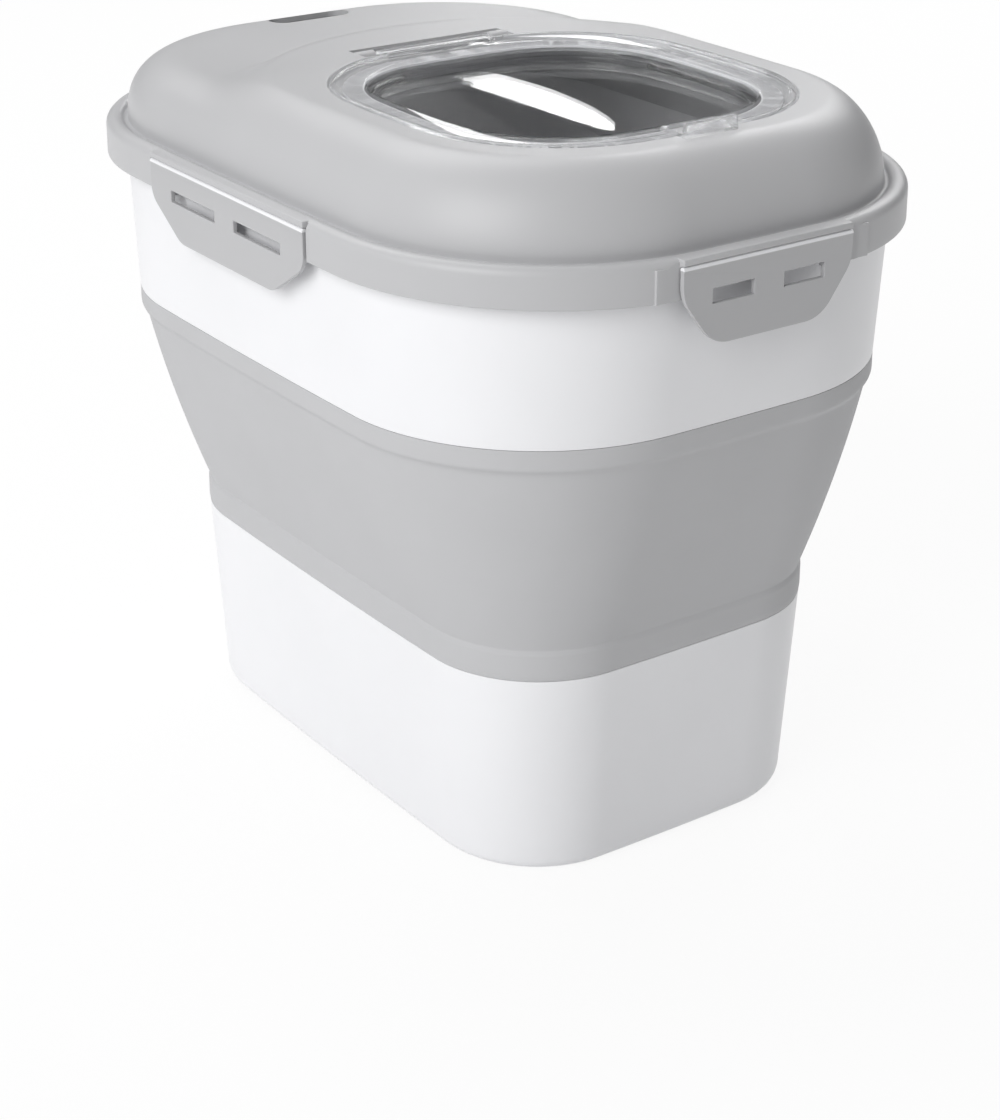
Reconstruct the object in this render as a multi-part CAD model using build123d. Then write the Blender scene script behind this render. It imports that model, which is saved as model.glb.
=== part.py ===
import os
from math import cos, hypot, radians, sin, sqrt

from build123d import *

# Collapsible rice storage container, sizes in millimetres.
# +Z is up, the finger tab of the clear window faces -Y, and the origin
# is the middle of the footprint on the ground.

# Footprint of the lower tub, and how each level grows from the one below
base_width = 178.0
base_length = 276.0
base_corner = 50.0
tub_draft = 5.5
tub_corner_growth = 4.0
sleeve_flare_side = 31.5
sleeve_flare_end = 27.5
sleeve_corner_growth = 37.0
ring_draft_side = 2.0
ring_draft_end = 5.5
ring_corner_growth = 3.0
rim_overhang_side = 6.5
rim_overhang_end = 12.0
rim_overhang_shift = 2.6
rim_corner_growth = 11.0
side_bow_radius = 4200.0
end_bow_radius = 2200.0
round_steps = 4

# Lower tub
tub_height = 94.5
tub_wall = 2.4
tub_floor = 2.6
base_edge_radius = 6.0
floor_edge_radius = 4.0
foot_width = 9.0
foot_depth = 1.2

# Rubber sleeve, and the lips of tub and ring that it is moulded on
sleeve_height = 114.0
sleeve_wall = 2.2
lip_height = 9.0
lip_inset = 1.5
cuff_bulge = 0.3
cuff_height = 11.5
cuff_round = 2.4
top_cuff_height = 8.5
cone_low_inset = 0.4
cone_high_inset = 2.2
cone_swell = 1.8
cone_shares = (0.0, 0.25, 0.5, 0.75, 1.0)

# Upper ring
ring_height = 72.1
ring_wall = 2.6

# Lid
skirt_cover = 10.9
rim_height = 16.8
rim_edge_radius = 4.0
rim_wall = 2.4
lid_wall = 2.4
groove_margin = 7.5
groove_width = 2.5
groove_depth = 2.0
gasket_thickness = 2.1
rib_thickness = 2.0
rib_depth = 8.0
plateau_run = 30.0
plateau_rise = 33.5
deck_run = 28.0
deck_rise = 26.0
dome_steps = 9
step_rear_margin = 98.0
step_radius = 130.0
step_slant = 4.0
slot_rear_margin = 31.0
slot_length = 40.0
slot_width = 5.6

# Clear flip window
window_width = 178.0
window_length = 182.0
window_corner = 66.0
window_bow_radius = 420.0
window_front_margin = 44.5
flange_thickness = 2.2
seal_thickness = 1.1
seal_width = 9.0
plug_inset = 14.5
plug_wall = 2.0
plug_depth = 13.0
dish_rise = 5.0
dish_run = 42.0
dish_shares = (0.0, 0.35, 0.7, 1.0)
dish_sheet = 2.0
hole_inset = 12.8
frame_thickness = 2.2
frame_margin = 2.4
hinge_length = 80.0
hinge_reach = 7.5
hinge_drop = 2.6
barrel_radius = 3.1
knuckle_length = 9.0
pin_radius = 1.5
tongue_margin = 1.5
pocket_depth = 7.5
pocket_margin = 3.0
pan_wall = 2.2
tab_width = 27.0
tab_height = 6.2
tab_thickness = 2.6
tab_reach = 8.0
tab_corner = 2.6
tab_foot = 2.0

# Locking clips: one at each end and one on each long side
clip_thickness = 2.2
clip_axis_drop = 4.5
bead_radius = 1.3
end_clip_width = 86.0
end_clip_depth = 32.5
end_clip_bottom = 55.0
end_knee_share = 0.36
end_knee_radius = 16.0
end_foot_radius = 16.0
end_slot_length = 21.0
end_slot_height = 6.4
end_slot_pitch = 36.0
side_clip_width = 128.0
side_clip_depth = 31.5
side_clip_bottom = 78.0
side_knee_share = 0.49
side_knee_radius = 10.0
side_foot_radius = 12.0
side_slot_length = 38.0
side_slot_height = 5.0
side_slot_pitch = 54.0
slot_top_drop = 9.3
land_recess = 2.2
land_end_margin = 11.0
land_side_margin = 1.2
brow_top_drop = 0.2
brow_rise = 1.9
lug_height = 2.8
lug_side_margin = 1.0
notch_margin = 1.5

# Clearances between neighbours, and how far cuts overrun
seam_gap = 0.2
lip_gap = 0.3
seal_gap = 0.3
rib_gap = 0.8
clip_gap = 0.5
bead_gap = 0.3
lug_gap = 0.5
lug_drop = 0.4
window_gap = 0.9
knuckle_gap = 0.5
pin_gap = 0.3
overlap = 0.5
overrun = 20.0


def grow(plan, side, end, corner, shift=0.0):
    """Next plan outline: half width, half length and corner radius larger, middle moved."""
    return (plan[0] + side, plan[1] + end, plan[2] + corner, plan[3] + shift)


base_plan = (base_width / 2, base_length / 2, base_corner, 0.0)
tub_top_plan = grow(base_plan, tub_draft, tub_draft, tub_corner_growth)
ring_bottom_plan = grow(tub_top_plan, sleeve_flare_side, sleeve_flare_end, sleeve_corner_growth)
ring_top_plan = grow(ring_bottom_plan, ring_draft_side, ring_draft_end, ring_corner_growth)
rim_plan = grow(ring_top_plan, rim_overhang_side, rim_overhang_end, rim_corner_growth, rim_overhang_shift)
rim_front_y = rim_plan[3] - rim_plan[1]
rim_rear_y = rim_plan[3] + rim_plan[1]

# Heights, from the ground up
lip_top_z = tub_height + lip_height
ring_bottom_z = tub_height + sleeve_height
ring_lip_z = ring_bottom_z - top_cuff_height + lip_gap + overlap
ring_top_z = ring_bottom_z + ring_height
gasket_low_z = ring_top_z + seal_gap
web_low_z = gasket_low_z + gasket_thickness
rim_bottom_z = ring_top_z - skirt_cover
rim_top_z = rim_bottom_z + rim_height
groove_low_z = rim_top_z - groove_depth
deck_z = rim_top_z + deck_rise
top_z = rim_top_z + plateau_rise
clip_axis_z = rim_top_z - clip_axis_drop
slot_top_z = clip_axis_z - slot_top_drop
lug_top_z = slot_top_z - lug_drop
flange_low_z = top_z - flange_thickness
seal_low_z = flange_low_z - seal_thickness
recess_low_z = seal_low_z - seal_gap
frame_low_z = recess_low_z - frame_thickness
plug_low_z = top_z - plug_depth
pocket_low_z = top_z - pocket_depth
pin_z = top_z - hinge_drop

# Places along the length, from the front
window_front_y = rim_front_y + window_front_margin
window_rear_y = window_front_y + window_length
window_plan = (window_width / 2, window_length / 2, window_corner, (window_front_y + window_rear_y) / 2)
hinge_y = window_rear_y + hinge_reach
pocket_rear_y = hinge_y + barrel_radius + pocket_margin
step_y = rim_rear_y - step_rear_margin - step_radius
slot_y = rim_rear_y - slot_rear_margin

# Places across the hinge
hinge_half = hinge_length / 2
pocket_half = hinge_half + knuckle_gap
barrel_half = hinge_half - knuckle_length - knuckle_gap
tongue_half = barrel_half - tongue_margin


def mix(lower, upper, share):
    return tuple(low + (high - low) * share for low, high in zip(lower, upper))


def outline(plan, z, inset=0.0, side_bow=side_bow_radius, end_bow=end_bow_radius):
    """Closed wire of eight tangent arcs: four bowed sides and four corners."""
    half_x, half_y, corner, middle = plan
    side_x = half_x - side_bow
    end_y = half_y - end_bow
    side_arm = side_bow - corner
    end_arm = end_bow - corner
    # The corner's centre is where circles about the two bow centres cross
    apart = hypot(side_x, end_y)
    along = (side_arm**2 - end_arm**2 + apart**2) / (2 * apart)
    across = sqrt(side_arm**2 - along**2)
    unit_x = -side_x / apart
    unit_y = end_y / apart
    centre_x = side_x + along * unit_x - across * unit_y
    centre_y = along * unit_y + across * unit_x
    side_share = (side_bow - inset) / side_arm
    end_share = (end_bow - inset) / end_arm
    side_point = (side_x + (centre_x - side_x) * side_share, centre_y * side_share)
    end_point = (centre_x * end_share, end_y + (centre_y - end_y) * end_share)
    lean_x = side_point[0] + end_point[0] - 2 * centre_x
    lean_y = side_point[1] + end_point[1] - 2 * centre_y
    corner_share = (corner - inset) / hypot(lean_x, lean_y)
    corner_point = (centre_x + lean_x * corner_share, centre_y + lean_y * corner_share)
    side_middle = (half_x - inset, 0.0)
    end_middle = (0.0, half_y - inset)

    def at(point, sign_x, sign_y):
        return Vector(point[0] * sign_x, point[1] * sign_y + middle, z)

    edges = []
    for one in (1, -1):
        start = at(side_point, one, -one)
        for via, stop in (
            (at(side_middle, one, one), at(side_point, one, one)),
            (at(corner_point, one, one), at(end_point, one, one)),
            (at(end_middle, one, one), at(end_point, -one, one)),
            (at(corner_point, -one, one), at(side_point, -one, one)),
        ):
            edges.append(ThreePointArc(start, via, stop))
            start = stop
    return Wire(edges)


def stack(levels):
    """Solid through outlines given as (plan, inset, height), straight in between."""
    return Solid.make_loft([outline(plan, z, inset) for plan, inset, z in levels], ruled=True)


def column(plan, low, high, inset=0.0):
    return stack([(plan, inset, low), (plan, inset, high)])


def window_stack(levels):
    bows = (window_bow_radius, window_bow_radius)
    wires = [outline(window_plan, z, inset, *bows) for inset, z in levels]
    return Solid.make_loft(wires, ruled=True)


def window_column(low, high, inset=0.0):
    return window_stack([(inset, low), (inset, high)])


def block(low, high):
    """Box between two corner points."""
    size = [top - bottom for bottom, top in zip(low, high)]
    centre = [(top + bottom) / 2 for bottom, top in zip(low, high)]
    return Pos(*centre) * Box(*size)


def rod(radius, half_length, y, z, x=0.0):
    """Round bar along X."""
    return Pos(x, y, z) * Rot(0, 90, 0) * Cylinder(radius, 2 * half_length)


def quarter_turns():
    return [radians(90 * step / round_steps) for step in range(round_steps + 1)]


def tub_bottom(low, radius, inset):
    """Levels of a rounded bottom edge that runs up into the tub's drafted wall."""
    levels = []
    for angle in quarter_turns():
        z = low + radius * (1 - cos(angle))
        plan = mix(base_plan, tub_top_plan, z / tub_height)
        levels.append((plan, inset + radius * (1 - sin(angle)), z))
    return levels


def lower_tub():
    shell = stack([*tub_bottom(0.0, base_edge_radius, 0.0), (tub_top_plan, 0.0, tub_height)])
    lip = column(tub_top_plan, tub_height - overlap, lip_top_z, lip_inset)
    space = stack(
        [
            *tub_bottom(tub_floor, floor_edge_radius, tub_wall),
            (tub_top_plan, tub_wall, tub_height),
            (tub_top_plan, tub_wall, lip_top_z + overlap),
        ]
    )
    foot = column(base_plan, -overlap, foot_depth, base_edge_radius + foot_width)
    return shell + lip - space - foot


def folding_sleeve():
    low = tub_height + seam_gap
    high = ring_bottom_z - seam_gap
    cone_low = low + cuff_height + cuff_round
    cone_high = high - top_cuff_height - cuff_round
    cone = []
    for share in cone_shares:
        plan = mix(tub_top_plan, ring_bottom_plan, share)
        swell = 4 * cone_swell * share * (1 - share)
        inset = cone_low_inset + (cone_high_inset - cone_low_inset) * share - swell
        cone.append((plan, inset, cone_low + (cone_high - cone_low) * share))
    outside = [
        (tub_top_plan, 0.0, low),
        (tub_top_plan, -cuff_bulge, low + cuff_round),
        (tub_top_plan, -cuff_bulge, low + cuff_height),
        *cone,
        (ring_bottom_plan, 0.0, high - top_cuff_height),
        (ring_bottom_plan, 0.0, high),
    ]
    cuff_inset = lip_inset - lip_gap
    inside = [
        (tub_top_plan, cuff_inset, low - overlap),
        (tub_top_plan, cuff_inset, low + cuff_height - overlap),
        *[(plan, inset + sleeve_wall, z) for plan, inset, z in cone],
        (ring_bottom_plan, cuff_inset, high - top_cuff_height + overlap),
        (ring_bottom_plan, cuff_inset, high + overlap),
    ]
    return stack(outside) - stack(inside)


def ring_wall_outside():
    return stack([(ring_bottom_plan, 0.0, ring_bottom_z), (ring_top_plan, 0.0, ring_top_z)])


def upper_ring():
    lip = column(ring_bottom_plan, ring_lip_z, ring_bottom_z + overlap, lip_inset)
    space = stack(
        [
            (ring_bottom_plan, ring_wall, ring_lip_z - overlap),
            (ring_bottom_plan, ring_wall, ring_bottom_z),
            (ring_top_plan, ring_wall, ring_top_z),
            (ring_top_plan, ring_wall, ring_top_z + overlap),
        ]
    )
    return ring_wall_outside() + lip - space


def ring_lugs():
    """Eight lugs that stand on the outside of the ring, each cut to the wall behind it."""
    wall = ring_wall_outside()
    return Compound([lug - wall for place in clip_places() for lug in place.lugs()])


class ClipPlace:
    """One locking clip and its seat, modelled at the front and turned to its side."""

    def __init__(self, turn, end):
        reach = 1 if end else 0
        self.turn = turn
        self.width = end_clip_width if end else side_clip_width
        self.depth = end_clip_depth if end else side_clip_depth
        self.bottom = end_clip_bottom if end else side_clip_bottom
        self.knee = (end_knee_share if end else side_knee_share) * self.depth
        self.knee_radius = end_knee_radius if end else side_knee_radius
        self.foot_radius = end_foot_radius if end else side_foot_radius
        self.slot_length = end_slot_length if end else side_slot_length
        self.slot_height = end_slot_height if end else side_slot_height
        self.pitch = end_slot_pitch if end else side_slot_pitch
        self.land_margin = land_end_margin if end else land_side_margin
        self.ring_y = -ring_bottom_plan[reach]
        self.land_y = land_recess - rim_plan[reach]
        self.axis_y = self.land_y - clip_gap - clip_thickness / 2

    def place(self, shape):
        return Pos(0, rim_plan[3], 0) * Rot(0, 0, self.turn) * shape

    def clip(self):
        half = self.width / 2
        corners = [(-half, 0), (half, 0), (half, -self.knee), (self.bottom / 2, -self.depth)]
        corners += [(-self.bottom / 2, -self.depth), (-half, -self.knee)]
        face = make_face(Polyline(*corners, close=True))
        face = fillet(face.vertices().sort_by(Axis.Y)[:2], self.foot_radius)
        face = fillet(face.vertices().sort_by(Axis.Y)[-4:-2], self.knee_radius)
        slot_drop = slot_top_drop + self.slot_height / 2
        slot = Rectangle(self.slot_length, self.slot_height)
        for side in (-1, 1):
            face = face - Pos(side * self.pitch / 2, -slot_drop) * slot
        plate = extrude(Plane.XZ * face, clip_thickness / 2, both=True)
        plate = Pos(0, self.axis_y, clip_axis_z) * plate
        return self.place(plate + rod(bead_radius, half, self.axis_y, clip_axis_z))

    def land(self):
        """Wall behind the flat that the clip lies on, and a brow over its rolled top edge."""
        wall_half = self.width / 2 + self.land_margin
        half = self.width / 2
        inner_y = self.land_y + rim_wall
        top = rim_top_z - brow_top_drop
        wall_top = web_low_z + overlap
        outer_y = self.axis_y - clip_thickness / 2
        wall = block((-wall_half, self.land_y, rim_bottom_z), (wall_half, inner_y, wall_top))
        root = block((-half, self.axis_y, clip_axis_z), (half, inner_y, top))
        brow = block((-half, outer_y, clip_axis_z + brow_rise), (half, inner_y, top))
        return self.place(wall + root + brow)

    def flat(self):
        """What the flat takes off the rim's bowed outside."""
        half = self.width / 2 + self.land_margin
        low = (-half, self.land_y - overrun, rim_bottom_z - overlap)
        return self.place(block(low, (half, self.land_y, rim_top_z + overlap)))

    def land_cut(self):
        """Groove for the rolled edge, and the lugs' way through the skirt."""
        half = self.width / 2 + bead_gap
        groove = rod(bead_radius + bead_gap, half, self.axis_y, clip_axis_z)
        notch_half = (self.pitch + self.slot_length) / 2 + notch_margin
        low = (-notch_half, self.axis_y, rim_bottom_z - overlap)
        notch = block(low, (notch_half, self.land_y + rim_wall + overlap, lug_top_z + notch_margin))
        return self.place(groove + notch)

    def lugs(self):
        tip_y = self.axis_y + clip_thickness / 2 + lug_gap
        half = self.slot_length / 2 - lug_side_margin
        pair = []
        for side in (-1, 1):
            middle = side * self.pitch / 2
            low = (middle - half, tip_y, lug_top_z - lug_height)
            pair.append(self.place(block(low, (middle + half, self.ring_y + ring_wall, lug_top_z))))
        return pair


def clip_places():
    return [ClipPlace(turn, end) for turn, end in ((0, True), (90, False), (180, True), (270, False))]


def crown(run, rise, distance):
    """Solid with a quarter ellipse as its edge, moved inward by a distance."""
    foot_inset = groove_margin + groove_width
    levels = [(rim_plan, foot_inset + distance, groove_low_z - overlap)]
    for step in range(dome_steps + 1):
        angle = radians(90 * step / dome_steps)
        out = rise * cos(angle)
        up = run * sin(angle)
        length = hypot(out, up)
        inset = foot_inset + run * (1 - cos(angle)) + distance * out / length
        levels.append((rim_plan, inset, rim_top_z + rise * sin(angle) - distance * up / length))
    return stack(levels)


def dome(distance):
    """The lid's crown: a low rear deck, and a high front that ends in an arc step."""
    low = rim_bottom_z
    high = top_z + overrun
    step_middle_z = (top_z + deck_z) / 2 - distance
    slope = 2 * step_slant / (top_z - deck_z)
    low_radius = step_radius - distance + slope * (step_middle_z - low)
    high_radius = step_radius - distance - slope * (high - step_middle_z)
    round_front = Pos(0, step_y, (low + high) / 2) * Cone(low_radius, high_radius, high - low)
    reach = rim_rear_y + overrun
    square_front = block((-reach, -reach, low), (reach, step_y, high))
    front = round_front + square_front
    plateau = crown(plateau_run, plateau_rise, distance) & front
    return plateau + (crown(deck_run, deck_rise, distance) - front)


def lid():
    levels = [(rim_plan, 0.0, rim_bottom_z)]
    for angle in quarter_turns():
        z = rim_top_z - rim_edge_radius * (1 - sin(angle))
        levels.append((rim_plan, rim_edge_radius * (1 - cos(angle)), z))
    shape = stack(levels) + dome(0.0)
    groove = column(rim_plan, groove_low_z, rim_top_z + overlap, groove_margin)
    core = column(rim_plan, groove_low_z - overlap, rim_top_z + 2 * overlap, groove_margin + groove_width)
    shape = shape - (groove - core)
    mouth_inset = ring_wall + rib_gap + rib_thickness
    reach = rim_rear_y
    crown_space = dome(lid_wall) & block((-reach, -reach, groove_low_z), (reach, reach, top_z))
    mouth = column(ring_top_plan, web_low_z - overlap, groove_low_z + overlap, mouth_inset)
    skirt_space = column(rim_plan, rim_bottom_z - overlap, web_low_z, rim_wall)
    shape = shape - crown_space - mouth - skirt_space
    rib_low = web_low_z - rib_depth
    rib = column(ring_top_plan, rib_low, web_low_z + overlap, ring_wall + rib_gap)
    shape = shape + (rib - column(ring_top_plan, rib_low - overlap, groove_low_z, mouth_inset))
    for place in clip_places():
        shape = shape - place.flat() + place.land() - place.land_cut()
    shape = window_seat(shape)
    slot = extrude(Pos(0, slot_y, rim_top_z) * SlotOverall(slot_length, slot_width), top_z - rim_top_z)
    return shape - slot


def window_seat(shape):
    """Frame, hinge pocket, opening and knuckles for the window, on the lid's crown."""
    pocket_front_y = window_rear_y - window_gap
    frame = window_column(frame_low_z, flange_low_z, -window_gap - frame_margin)
    pan = block(
        (-pocket_half - pan_wall, pocket_front_y - pan_wall, pocket_low_z - pan_wall),
        (pocket_half + pan_wall, pocket_rear_y + pan_wall, flange_low_z),
    )
    pocket = block(
        (-pocket_half, pocket_front_y, pocket_low_z),
        (pocket_half, pocket_rear_y, top_z + overlap),
    )
    shape = shape + frame + pan - pocket
    shape = shape - window_column(recess_low_z, top_z + overlap, -window_gap)
    shape = shape - window_column(pocket_low_z - overrun, recess_low_z + overlap, hole_inset)
    inner = barrel_half + knuckle_gap
    half = (pocket_half + overlap - inner) / 2
    for side in (-1, 1):
        middle = side * (inner + half)
        stand = block(
            (middle - half, hinge_y - barrel_radius, pocket_low_z - overlap),
            (middle + half, hinge_y + barrel_radius, pin_z),
        )
        shape = shape + stand + rod(barrel_radius, half, hinge_y, pin_z, middle)
    return shape - rod(pin_radius, hinge_half, hinge_y, pin_z)


def lid_gasket():
    outer = column(ring_top_plan, gasket_low_z, web_low_z, -rib_gap)
    return outer - column(ring_top_plan, gasket_low_z - overlap, web_low_z + overlap, ring_wall + rib_gap)


def dish_floor(low):
    """Crowned solid inside the window's wall, whose top is one face of the dish."""
    inner = plug_inset + plug_wall
    levels = [(inner, plug_low_z - overrun)]
    for share in dish_shares:
        levels.append((inner + dish_run * share, low + dish_rise * (1 - (1 - share) ** 2)))
    return window_stack(levels)


def flip_window():
    plug = window_column(plug_low_z, flange_low_z + overlap, plug_inset)
    bowl = window_column(plug_low_z - overlap, top_z + overlap, plug_inset + plug_wall)
    over = bowl - dish_floor(plug_low_z + dish_sheet)
    shape = window_column(flange_low_z, top_z) + plug - over - dish_floor(plug_low_z)
    tongue = block(
        (-tongue_half, window_rear_y - seal_width, flange_low_z),
        (tongue_half, hinge_y, top_z),
    )
    shape = shape + tongue + rod(barrel_radius, barrel_half, hinge_y, pin_z)
    shape = shape - rod(pin_radius + pin_gap, hinge_half, hinge_y, pin_z)
    return shape + finger_tab()


def finger_tab():
    """Foot on the flange, and an upright lip in front of it."""
    half = tab_width / 2
    lip_y = window_front_y - tab_reach
    low = top_z + seal_gap
    foot = block((-half, lip_y, low), (half, window_front_y + tab_reach, low + tab_foot))
    root = block((-half, window_front_y + overlap, flange_low_z), (half, window_front_y + tab_reach, low))
    face = Pos(0, tab_height / 2) * RectangleRounded(tab_width, tab_height, tab_corner)
    upright = Plane((0, lip_y + tab_thickness, low), x_dir=(1, 0, 0), z_dir=(0, -1, 0))
    return foot + root + extrude(upright * face, tab_thickness)


def window_seal():
    outer = window_column(seal_low_z, flange_low_z, plug_inset - seal_width)
    return outer - window_column(seal_low_z - overlap, flange_low_z + overlap, plug_inset)


def window_hinge_pin():
    return rod(pin_radius, hinge_half, hinge_y, pin_z)


def build():
    front, right, rear, left = [place.clip() for place in clip_places()]
    return {
        "lower_tub": lower_tub(),
        "folding_sleeve": folding_sleeve(),
        "upper_ring": upper_ring(),
        "ring_lugs": ring_lugs(),
        "lid": lid(),
        "lid_gasket": lid_gasket(),
        "front_clip": front,
        "right_clip": right,
        "rear_clip": rear,
        "left_clip": left,
        "flip_window": flip_window(),
        "window_seal": window_seal(),
        "window_hinge_pin": window_hinge_pin(),
    }


os.makedirs("parts", exist_ok=True)
for name, shape in build().items():
    export_step(shape, f"parts/{name}.step")
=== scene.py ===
from math import cos, pi, radians, sin, tan

import bmesh
import bpy
import numpy as np
from mathutils import Matrix, Vector


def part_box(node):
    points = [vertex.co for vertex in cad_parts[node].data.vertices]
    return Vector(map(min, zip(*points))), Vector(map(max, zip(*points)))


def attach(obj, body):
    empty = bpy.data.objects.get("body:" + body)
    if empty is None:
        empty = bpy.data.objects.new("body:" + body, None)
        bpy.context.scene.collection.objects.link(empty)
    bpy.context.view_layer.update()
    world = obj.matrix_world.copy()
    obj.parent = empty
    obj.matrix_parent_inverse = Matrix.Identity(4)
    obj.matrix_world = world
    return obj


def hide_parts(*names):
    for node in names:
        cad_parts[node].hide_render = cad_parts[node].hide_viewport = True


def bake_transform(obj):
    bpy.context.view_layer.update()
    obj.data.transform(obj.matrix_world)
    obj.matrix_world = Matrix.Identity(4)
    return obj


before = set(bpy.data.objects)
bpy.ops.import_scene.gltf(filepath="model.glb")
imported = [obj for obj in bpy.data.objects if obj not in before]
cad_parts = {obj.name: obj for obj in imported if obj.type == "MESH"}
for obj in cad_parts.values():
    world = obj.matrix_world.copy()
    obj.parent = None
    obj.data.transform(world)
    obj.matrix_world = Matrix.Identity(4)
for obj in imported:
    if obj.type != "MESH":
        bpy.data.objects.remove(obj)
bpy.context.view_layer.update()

# Sizes are in millimetres, in the frame of the CAD model; meshes are made in metres
METRE = 1000.0


def corners(node):
    """Lowest and highest corner of a CAD node, in millimetres."""
    return [np.array(corner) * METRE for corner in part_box(node)]


tub_high = corners("lower_tub")[1]
sleeve_low, sleeve_high = corners("folding_sleeve")
ring_low, ring_high = corners("upper_ring")
lid_low, lid_high = corners("lid")
window_low, window_high = corners("flip_window")
seal_low, seal_high = corners("window_seal")
pin_low, pin_high = corners("window_hinge_pin")
gasket_high = corners("lid_gasket")[1]

# Plans: half width, half length and corner radius of the outline at each level
base_plan = (89.0, 138.0, 50.0)
tub_top_plan = (94.5, 143.5, 54.0)
ring_bottom_plan = (126.0, 171.0, 91.0)
ring_top_plan = (128.0, 176.5, 94.0)
rim_plan = (134.5, 188.5, 105.0)
window_plan = (89.0, 91.0, 66.0)

# Radii of the slightly bowed sides and ends of an outline
BODY_BOWS = (4200.0, 2200.0)
WINDOW_BOWS = (420.0, 420.0)

# Thicknesses and gaps
SEAM_GAP = 0.2
LIP_INSET = 1.5
LID_WALL = 2.4
RIM_HEIGHT = 16.8
GROOVE_DEPTH = 2.0
FLANGE_THICKNESS = 2.2
SEAT_THICKNESS = 2.2
SEAL_CLEARANCE = 0.3

# How far the clips' turning axis lies below the rim's top, and how far places lie from its ends
CLIP_AXIS_DROP = 4.5
WINDOW_FROM_FRONT = 44.5
STEP_FROM_REAR = 228.0
SLOT_FROM_REAR = 35.4

# Heights
tub_top = sleeve_low[2] - SEAM_GAP
lip_top = tub_high[2]
sleeve_bottom = sleeve_low[2]
sleeve_top = sleeve_high[2]
ring_bottom = sleeve_top + SEAM_GAP
ring_lip_low = ring_low[2]
ring_top = ring_high[2]
rim_bottom = lid_low[2]
rim_top = rim_bottom + RIM_HEIGHT
groove_low = rim_top - GROOVE_DEPTH
clip_axis = rim_top - CLIP_AXIS_DROP
web_low = gasket_high[2]
flange_low = seal_high[2]
flange_top = flange_low + FLANGE_THICKNESS
recess_low = seal_low[2] - SEAL_CLEARANCE
seat_low = recess_low - SEAT_THICKNESS
pin_height = (pin_low[2] + pin_high[2]) / 2
plug_low = window_low[2]

# Places along the length; the lid's rim reaches further out at the rear than at the front
rim_middle = (lid_low[1] + lid_high[1]) / 2
window_front = rim_middle - rim_plan[1] + WINDOW_FROM_FRONT
window_middle = window_front + window_plan[1]
window_rear = window_middle + window_plan[1]
hinge_y = (pin_low[1] + pin_high[1]) / 2
step_middle = rim_middle + rim_plan[1] - STEP_FROM_REAR
slot_middle = rim_middle + rim_plan[1] - SLOT_FROM_REAR

# Columns of points on a long side, a corner and an end of an outline
BODY_COLUMNS = (40, 56, 24)
LID_COLUMNS = (56, 60, 28)

# Points nearer than MERGE, in metres, become one; edges that turn more than this stay sharp
MERGE = 1e-6
SHARP_DEGREES = 38.0


def outline(plans, insets, bows=BODY_BOWS, middle=0.0, columns=BODY_COLUMNS):
    """Rows of points on eight tangent arcs, one row for each plan and inset.

    The corner's centre is where circles about the two bow centres cross. A point is the arc's
    centre plus its radius less the inset, times the unit vector at an angle from seam to seam.
    """
    half_x, half_y, corner = np.asarray(plans, float).T[:, :, None]
    insets = np.asarray(insets, float)[:, None]
    side_bow, end_bow = bows
    side_x = half_x - side_bow
    end_y = half_y - end_bow
    apart = np.hypot(side_x, end_y)
    along = ((side_bow - corner) ** 2 - (end_bow - corner) ** 2 + apart**2) / (2 * apart)
    across = np.sqrt((side_bow - corner) ** 2 - along**2)
    centre_x = side_x - (along * side_x + across * end_y) / apart
    centre_y = (along * end_y - across * side_x) / apart
    side_turn = np.arctan2(centre_y, centre_x - side_x)
    end_turn = np.arctan2(centre_x, centre_y - end_y)
    zero = np.zeros_like(centre_x)
    side_count, corner_count, end_count = columns
    arcs = []
    for half_turn, sign in ((0.0, 1), (pi, -1)):
        east = half_turn - side_turn
        north_east = half_turn + side_turn
        north = half_turn + pi / 2 - end_turn
        north_west = half_turn + pi / 2 + end_turn
        west = half_turn + pi - side_turn
        arcs += [
            (sign * side_x, zero, side_bow, east, north_east, side_count),
            (sign * centre_x, sign * centre_y, corner, north_east, north, corner_count),
            (zero, sign * end_y, end_bow, north, north_west, end_count),
            (-sign * centre_x, sign * centre_y, corner, north_west, west, corner_count),
        ]
    parts = []
    for x, y, radius, start, stop, count in arcs:
        angle = start + (stop - start) * np.arange(count) / count
        reach = radius - insets
        parts.append(np.dstack([x + reach * np.cos(angle), y + reach * np.sin(angle) + middle]))
    return np.concatenate(parts, axis=1)


def rounded(points, steps=6, closed=False):
    """Path through (across, height, radius) points, with each corner an arc.

    The arc touches both runs at radius times the tangent of half the turn from the corner.
    """
    points = np.asarray(points, float)
    path = []
    for index, (across, height, radius) in enumerate(points):
        here = np.array([across, height])
        end = not closed and index in (0, len(points) - 1)
        if end or radius == 0:
            path.append(here)
            continue
        before = points[index - 1, :2] - here
        after = points[(index + 1) % len(points), :2] - here
        before /= np.hypot(*before)
        after /= np.hypot(*after)
        half = np.arccos(np.clip(before @ after, -1, 1)) / 2
        middle = (before + after) / np.hypot(*(before + after))
        centre = here + middle * radius / sin(half)
        foot = here + before * radius / tan(half) - centre
        tip = here + after * radius / tan(half) - centre
        share = np.linspace(0, 1, steps + 1)[:, None]
        bend = pi - 2 * half
        arc = (np.sin((1 - share) * bend) * foot + np.sin(share * bend) * tip) / sin(bend)
        path.extend(centre + arc)
    return np.array(path)


def divided(path, longest, closed=False):
    """The same path with extra points, so that no run is longer than the given length."""
    ends = np.roll(path, -1, axis=0) if closed else path[1:]
    pieces = []
    for start, stop in zip(path, ends):
        count = max(1, int(np.ceil(np.hypot(*(stop - start)) / longest)))
        share = np.arange(count)[:, None] / count
        pieces.append(start + (stop - start) * share)
    if not closed:
        pieces.append(path[-1:])
    return np.concatenate(pieces)


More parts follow.
